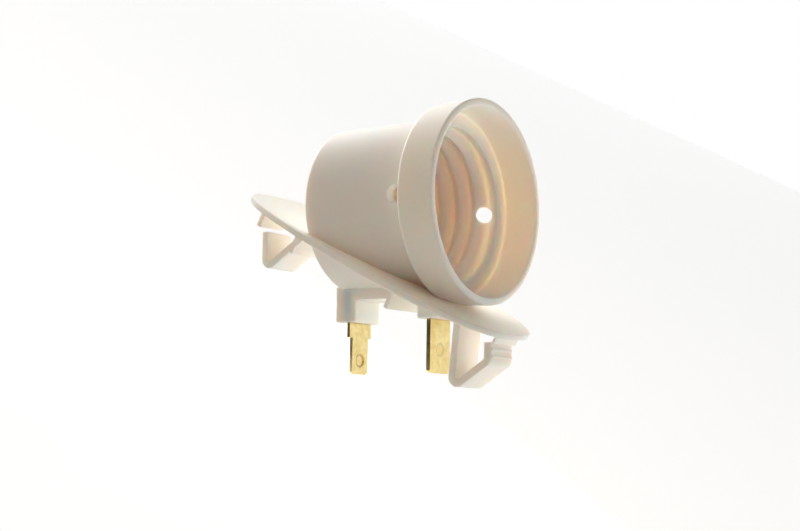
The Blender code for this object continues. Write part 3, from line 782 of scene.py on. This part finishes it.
# %% [markdown]
# ## One moulding
# The real part comes out of one mould, so the pieces are joined with Boolean unions into one closed
# skin, and the bore, the cross holes and the slots of the contacts are cut out of it. One closed skin
# also matters for the finish: light that enters the plastic must find a wall of the true thickness.
# A short pin cores each cross hole. The far pin leans, so that the camera looks along its hole at the
# white table and sees a clean disc.

# %% Join, cut and smooth
def combine(target, tool, operation):
    """Join or cut with an exact Boolean, apply it and drop the tool."""
    only(target)
    step = target.modifiers.new(operation.lower(), "BOOLEAN")
    step.operation = operation
    step.solver = "EXACT"
    step.object = tool
    bpy.ops.object.modifier_apply(modifier=step.name)
    bpy.data.objects.remove(tool)


def smooth(obj, angle):
    """Shade a piece smooth, but keep its flat faces flat up to their rounded edges."""
    only(obj)
    bpy.ops.object.shade_smooth_by_angle(angle=math.radians(angle))
    step = obj.modifiers.new("flat_faces", "WEIGHTED_NORMAL")
    step.keep_sharp = True
    bpy.ops.object.modifier_apply(modifier=step.name)


# %% Join the pieces and cut the bore
combine(flange, seat_field, "DIFFERENCE")
combine(housing, flange, "UNION")
for piece in additions:
    combine(housing, piece, "UNION")
combine(housing, plug, "DIFFERENCE")
print("moulding with its bore:", len(housing.data.polygons), "faces")

# %% Core the cross holes
CROSS_HOLE_RADIUS = 1.55 * MM
CROSS_HOLE_DEPTH = 9.3 * MM
FAR_HOLE_RADIUS = 1.45 * MM
FAR_HOLE_LEAN = math.radians(28)
PIN_INSIDE = 2 * MM
PIN_OUTSIDE = 4 * MM
PIN_SEGMENTS = 48

for side, radius, lean in ((-1, CROSS_HOLE_RADIUS, 0), (1, FAR_HOLE_RADIUS, FAR_HOLE_LEAN)):
    pin = turned_solid("core_pin", [(radius, -PIN_INSIDE), (radius, PIN_OUTSIDE)], PIN_SEGMENTS)
    turn_and_move(
        pin, (-side * math.pi / 2 - lean, 0, 0), (0, side * THREAD_ROOT_RADIUS, -CROSS_HOLE_DEPTH)
    )
    combine(housing, onto_lamp_axis(pin), "DIFFERENCE")
print("cross holes: %.1f mm from the mouth" % (CROSS_HOLE_DEPTH / MM))

# %% Cut the slots of the contacts
CENTRE_THICKNESS = 0.6 * MM
CENTRE_STRIP_WIDTH = 6.5 * MM
SIDE_THICKNESS = 0.8 * MM
SIDE_TAB_WIDTH = 6.3 * MM
SIDE_LEAF_LENGTH = 6.0 * MM
SIDE_LEAF_SEAT = 12.7 * MM
CONTACT_CLEARANCE = 0.15 * MM
PLASTIC_SMOOTH_ANGLE = 32


def slot(name, width, thickness, place, bottom):
    """The slot that a contact passes through."""
    half_width = width / 2 + CONTACT_CLEARANCE
    half_thickness = thickness / 2 + CONTACT_CLEARANCE
    made = block(
        name, (THREAD_CREST_RADIUS - CLEAR, -half_width, place - half_thickness),
        (bottom + CLEAR, half_width, place + half_thickness), 0,
    )
    return onto_lamp_axis(made)


centre_place = floor_height + CONTACT_CLEARANCE + CENTRE_THICKNESS / 2
combine(
    housing, slot("centre_slot", CENTRE_STRIP_WIDTH, CENTRE_THICKNESS, centre_place, BLOCK_DEPTH),
    "DIFFERENCE",
)
combine(
    housing, slot("side_slot", SIDE_TAB_WIDTH, SIDE_THICKNESS, -SIDE_PLACE, BOSS_DEPTH), "DIFFERENCE"
)
pocket_half_width = SIDE_TAB_WIDTH / 2 + CONTACT_CLEARANCE
pocket_half_thickness = SIDE_THICKNESS / 2 + CONTACT_CLEARANCE
pocket = block(
    "leaf_pocket",
    (THREAD_CREST_RADIUS - 2 * CLEAR, -pocket_half_width,
     -SIDE_PLACE - SIDE_LEAF_LENGTH - 2 * CONTACT_CLEARANCE),
    (SIDE_LEAF_SEAT + pocket_half_thickness, pocket_half_width,
     -SIDE_PLACE + pocket_half_thickness), 0,
)
combine(housing, onto_lamp_axis(pocket), "DIFFERENCE")
smooth(housing, PLASTIC_SMOOTH_ANGLE)
print("moulding:", len(housing.data.polygons), "faces")

# %% [markdown]
# ## Ivory plastic
# The plastic is a milky polymer a millimetre or so thick. Light goes into it, scatters and comes out
# warmer, so the inside of the socket glows peach while the thick places stay darker. Subsurface
# scattering gives this, with red light travelling further than blue. A very fine bump and a slow
# change of roughness keep the surface from looking like glass.

# %% Mix the plastic
PLASTIC_COLOUR = (0.98, 0.905, 0.832, 1.0)
SCATTER_RADIUS = (1.0, 0.6, 0.46)
SCATTER_SCALE = 1.7 * MM
PLASTIC_IOR = 1.5
PLASTIC_SHINE = 0.18
PLASTIC_ROUGHNESS = (0.36, 0.48)
CLOUD_SCALE = 90.0
CLOUD_SHADE = 0.985
PLASTIC_GRAIN_SCALE = 2500.0
PLASTIC_GRAIN_HEIGHT = 0.03 * MM

plastic = bpy.data.materials.new("ivory_plastic")
plastic.use_nodes = True
tree = plastic.node_tree
shader = tree.nodes["Principled BSDF"]
shader.inputs["Subsurface Weight"].default_value = 1.0
shader.inputs["Subsurface Radius"].default_value = SCATTER_RADIUS
shader.inputs["Subsurface Scale"].default_value = SCATTER_SCALE
shader.inputs["IOR"].default_value = PLASTIC_IOR
shader.inputs["Specular IOR Level"].default_value = PLASTIC_SHINE
place = new_node(tree, "ShaderNodeTexCoord", (-1300, 0))
cloud = new_node(tree, "ShaderNodeTexNoise", (-1000, 200), Scale=CLOUD_SCALE, Detail=3.0)
tint = new_node(tree, "ShaderNodeValToRGB", (-700, 200))
tint.color_ramp.elements[0].position = 0.3
tint.color_ramp.elements[0].color = [c * CLOUD_SHADE for c in PLASTIC_COLOUR[:3]] + [1.0]
tint.color_ramp.elements[1].position = 0.7
tint.color_ramp.elements[1].color = PLASTIC_COLOUR
gloss = new_node(tree, "ShaderNodeMapRange", (-700, -50))
gloss.inputs["To Min"].default_value = PLASTIC_ROUGHNESS[0]
gloss.inputs["To Max"].default_value = PLASTIC_ROUGHNESS[1]
grain = new_node(
    tree, "ShaderNodeTexNoise", (-1000, -300), Scale=PLASTIC_GRAIN_SCALE, Detail=2.0
)
bump = new_node(
    tree, "ShaderNodeBump", (-400, -300), Strength=0.08, Distance=PLASTIC_GRAIN_HEIGHT
)
tree.links.new(place.outputs["Object"], cloud.inputs["Vector"])
tree.links.new(place.outputs["Object"], grain.inputs["Vector"])
tree.links.new(cloud.outputs["Fac"], tint.inputs["Fac"])
tree.links.new(cloud.outputs["Fac"], gloss.inputs["Value"])
tree.links.new(grain.outputs["Fac"], bump.inputs["Height"])
tree.links.new(tint.outputs["Color"], shader.inputs["Base Color"])
tree.links.new(gloss.outputs["Result"], shader.inputs["Roughness"])
tree.links.new(bump.outputs["Normal"], shader.inputs["Normal"])
housing.data.materials.clear()
housing.data.materials.append(plastic)
print("red light travels %.1f mm in the plastic" % (SCATTER_RADIUS[0] * SCATTER_SCALE / MM))

# %% [markdown]
# ## Brass contacts
# Both contacts are stamped from brass strip. The narrow one has a shoulder where it leaves its block
# and runs up the socket's floor to a sprung tongue. The wide one turns into a leaf that lies in the
# thread. Each is bent from a strip, its tip is cut at the corners, and a dimple is pressed in it.

# %% Finish a tab
CONTACT_END = 29.6 * MM
TIP_CHAMFER = 0.4 * MM
TIP_BEVEL_LENGTH = 0.65 * MM
TIP_BEVEL_DEPTH = 0.17 * MM
DIMPLE_RADIUS = 1.25 * MM
DIMPLE_FLAT = 0.95 * MM
DIMPLE_SEGMENTS = 48
BRASS_EDGE = 0.03 * MM
BRASS_EDGE_SEGMENTS = 2
BRASS_EDGE_ANGLE = 30


def finish_tab(contact, width, thickness, place_z, dimple_x, dimple_depth):
    """Cut a tab's corners, slope both faces of its tip, and press a dimple into its front."""
    for side in (-1, 1):
        reach = TIP_CHAMFER / math.sqrt(2)
        wedge = block("corner", (-reach, -reach, -thickness), (reach, reach, thickness), 0)
        turn_and_move(wedge, (0, 0, math.pi / 4), (CONTACT_END, side * width / 2, place_z))
        combine(contact, wedge, "DIFFERENCE")
        ends = sorted((0, side * thickness))
        slope = block(
            "lead_in", (-TIP_BEVEL_LENGTH, -width / 2 - CLEAR, ends[0]),
            (2 * TIP_BEVEL_LENGTH, width / 2 + CLEAR, ends[1]), 0,
        )
        lean = side * math.atan2(TIP_BEVEL_DEPTH, TIP_BEVEL_LENGTH)
        turn_and_move(
            slope, (0, lean, 0), (CONTACT_END - TIP_BEVEL_LENGTH, 0, place_z + side * thickness / 2)
        )
        combine(contact, slope, "DIFFERENCE")
    rings = [(DIMPLE_FLAT, -dimple_depth), (DIMPLE_RADIUS, 0), (DIMPLE_RADIUS + CLEAR, CLEAR)]
    dent = turned_solid("dent", rings, DIMPLE_SEGMENTS)
    turn_and_move(dent, (0, 0, 0), (dimple_x, 0, place_z + thickness / 2))
    combine(contact, dent, "DIFFERENCE")
    round_edges(contact, BRASS_EDGE, BRASS_EDGE_SEGMENTS, BRASS_EDGE_ANGLE)
    return onto_lamp_axis(contact)


# %% Stamp the narrow contact
CENTRE_TAB_WIDTH = 4.75 * MM
CENTRE_SHOULDER = 23.05 * MM
CENTRE_DIMPLE = 27.1 * MM
CENTRE_DIMPLE_DEPTH = 0.2 * MM
CENTRE_SPRING_BEND = 4.5 * MM
CENTRE_SPRING_LENGTH = 6.5 * MM
CENTRE_SPRING_ANGLE = math.radians(28)
CONTACT_BEND_RADIUS = 0.9 * MM

tongue_end = (
    CENTRE_SPRING_BEND - CENTRE_SPRING_LENGTH * math.cos(CENTRE_SPRING_ANGLE),
    centre_place + CENTRE_SPRING_LENGTH * math.sin(CENTRE_SPRING_ANGLE),
)
centre_contact = bent_strip(
    "centre_strip", [(CONTACT_END, centre_place), (CENTRE_SPRING_BEND, centre_place), tongue_end],
    CONTACT_BEND_RADIUS, CENTRE_THICKNESS, CENTRE_STRIP_WIDTH, 0,
)
for side in (-1, 1):
    edges = sorted([side * CENTRE_TAB_WIDTH / 2, side * (CENTRE_STRIP_WIDTH / 2 + CLEAR)])
    step = block(
        "step", (CENTRE_SHOULDER, edges[0], centre_place - 2 * CENTRE_THICKNESS),
        (CONTACT_END + CLEAR, edges[1], centre_place + 2 * CENTRE_THICKNESS), 0,
    )
    combine(centre_contact, step, "DIFFERENCE")
finish_tab(
    centre_contact, CENTRE_TAB_WIDTH, CENTRE_THICKNESS, centre_place, CENTRE_DIMPLE,
    CENTRE_DIMPLE_DEPTH,
)
print("narrow contact:", len(centre_contact.data.polygons), "faces")

# %% Stamp the wide contact
SIDE_DIMPLE = 25.45 * MM
SIDE_DIMPLE_DEPTH = 0.1 * MM
SIDE_LEAF_RISE = math.radians(10)
BRASS_SMOOTH_ANGLE = 30

leaf_end = (
    SIDE_LEAF_SEAT - SIDE_LEAF_LENGTH * math.tan(SIDE_LEAF_RISE), -SIDE_PLACE - SIDE_LEAF_LENGTH
)
side_contact = bent_strip(
    "side_strip", [(CONTACT_END, -SIDE_PLACE), (SIDE_LEAF_SEAT, -SIDE_PLACE), leaf_end],
    CONTACT_BEND_RADIUS, SIDE_THICKNESS, SIDE_TAB_WIDTH, 0,
)
finish_tab(
    side_contact, SIDE_TAB_WIDTH, SIDE_THICKNESS, -SIDE_PLACE, SIDE_DIMPLE, SIDE_DIMPLE_DEPTH
)
for contact in (centre_contact, side_contact):
    smooth(contact, BRASS_SMOOTH_ANGLE)
print("wide contact:", len(side_contact.data.polygons), "faces")

# %% [markdown]
# ## Brass
# Polished brass takes its colour from the light that it mirrors, so it is fully metallic, with a tint
# that wanders between a light and a deep yellow. Handling leaves it cloudy, which a fine noise in the
# roughness gives. The edge of each dimple gets a painted ring of shade, a deep brown that stands in
# for the shading of the dent's rim, made from how far a point is from the dimple's middle.

# %% Polish the brass
BRASS_LIGHT = (0.90, 0.74, 0.35, 1.0)
BRASS_DEEP = (0.80, 0.61, 0.25, 1.0)
# The deep brown of the painted shade rings round the dimples, which stand in for the dents' shading
BRASS_PAINTED_SHADE = (0.42, 0.29, 0.11, 1.0)
BRASS_ROUGHNESS = (0.18, 0.30)
STAIN_SCALE = 700.0
BRASS_GRAIN_SCALE = 1600.0
BRASS_GRAIN_HEIGHT = 0.05 * MM

brass = bpy.data.materials.new("brass")
brass.use_nodes = True
tree = brass.node_tree
shader = tree.nodes["Principled BSDF"]
shader.inputs["Metallic"].default_value = 1.0
place = new_node(tree, "ShaderNodeTexCoord", (-1700, 0))
stain = new_node(tree, "ShaderNodeTexNoise", (-1000, 500), Scale=STAIN_SCALE, Detail=5.0)
tint = new_node(tree, "ShaderNodeValToRGB", (-700, 500))
tint.color_ramp.elements[0].position = 0.35
tint.color_ramp.elements[0].color = BRASS_DEEP
tint.color_ramp.elements[1].position = 0.65
tint.color_ramp.elements[1].color = BRASS_LIGHT
gloss = new_node(tree, "ShaderNodeMapRange", (-700, -50))
gloss.inputs["To Min"].default_value = BRASS_ROUGHNESS[0]
gloss.inputs["To Max"].default_value = BRASS_ROUGHNESS[1]
grain = new_node(tree, "ShaderNodeTexNoise", (-1000, -300), Scale=BRASS_GRAIN_SCALE, Detail=3.0)
bump = new_node(tree, "ShaderNodeBump", (-400, -300), Strength=0.12, Distance=BRASS_GRAIN_HEIGHT)
print("nodes of the clean brass:", len(tree.nodes))

# %% Paint rings of shade round the edges of the dimples
# Size and darkness of the painted shade ring at each dimple's rim, darker on the narrow contact
SHADE_RING_RADIUS = 1.08 * MM
SHADE_RING_WIDTH = 0.34 * MM
NARROW_SHADE_DARKNESS = 0.8
WIDE_SHADE_DARKNESS = 0.35

lamp_to_part = Matrix.Translation(MOUTH_CENTRE) @ Matrix.Rotation(math.pi / 2 - LAMP_TILT, 4, "Y")
painted_shade = []
for i, (dimple_x, face, darkness) in enumerate((
    (CENTRE_DIMPLE, centre_place + CENTRE_THICKNESS / 2, NARROW_SHADE_DARKNESS),
    (SIDE_DIMPLE, -SIDE_PLACE + SIDE_THICKNESS / 2, WIDE_SHADE_DARKNESS),
)):
    height = 300 - 200 * i
    away = new_node(tree, "ShaderNodeVectorMath", (-1500, height), operation="DISTANCE")
    away.inputs[1].default_value = lamp_to_part @ Vector((dimple_x, 0, face))
    off_ring = new_node(tree, "ShaderNodeMath", (-1350, height), operation="SUBTRACT")
    off_ring.inputs[1].default_value = SHADE_RING_RADIUS
    gap = new_node(tree, "ShaderNodeMath", (-1200, height), operation="ABSOLUTE")
    ring_mask = step_node(tree, (-1000, height), 0.0, SHADE_RING_WIDTH, darkness, 0.0)
    tree.links.new(place.outputs["Object"], away.inputs[0])
    tree.links.new(away.outputs["Value"], off_ring.inputs[0])
    tree.links.new(off_ring.outputs["Value"], gap.inputs[0])
    tree.links.new(gap.outputs["Value"], ring_mask.inputs["Value"])
    painted_shade.append(ring_mask.outputs["Result"])
both = new_node(tree, "ShaderNodeMath", (-700, 200), operation="MAXIMUM")
tree.links.new(painted_shade[0], both.inputs[0])
tree.links.new(painted_shade[1], both.inputs[1])
# The painted shade rings darken the brass colour towards the deep brown at each dimple's rim
# A colour mix has its two colours at inputs 6 and 7, and the mixed one at output 2
shaded_brass = new_node(tree, "ShaderNodeMix", (-400, 300), data_type="RGBA")
shaded_brass.inputs[7].default_value = BRASS_PAINTED_SHADE
tree.links.new(both.outputs["Value"], shaded_brass.inputs["Factor"])
tree.links.new(tint.outputs["Color"], shaded_brass.inputs[6])
tree.links.new(place.outputs["Object"], stain.inputs["Vector"])
tree.links.new(place.outputs["Object"], grain.inputs["Vector"])
tree.links.new(stain.outputs["Fac"], tint.inputs["Fac"])
tree.links.new(stain.outputs["Fac"], gloss.inputs["Value"])
tree.links.new(grain.outputs["Fac"], bump.inputs["Height"])
tree.links.new(shaded_brass.outputs[2], shader.inputs["Base Color"])
tree.links.new(gloss.outputs["Result"], shader.inputs["Roughness"])
tree.links.new(bump.outputs["Normal"], shader.inputs["Normal"])
for contact in (centre_contact, side_contact):
    contact.data.materials.clear()
    contact.data.materials.append(brass)
print("rings of tarnish:", len(painted_shade))

# %% [markdown]
# ## Hand over the pieces
# Each fine piece stands for one node of the frame, which stays hidden and keeps its place for the
# simulation.

# %% Hand over and finish
for piece, node, material_slot in (
    (housing, "socket_body", "ivory_plastic"),
    (centre_contact, "centre_contact", "brass"),
    (side_contact, "side_contact", "brass"),
):
    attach(piece, "root")
    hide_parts(node)
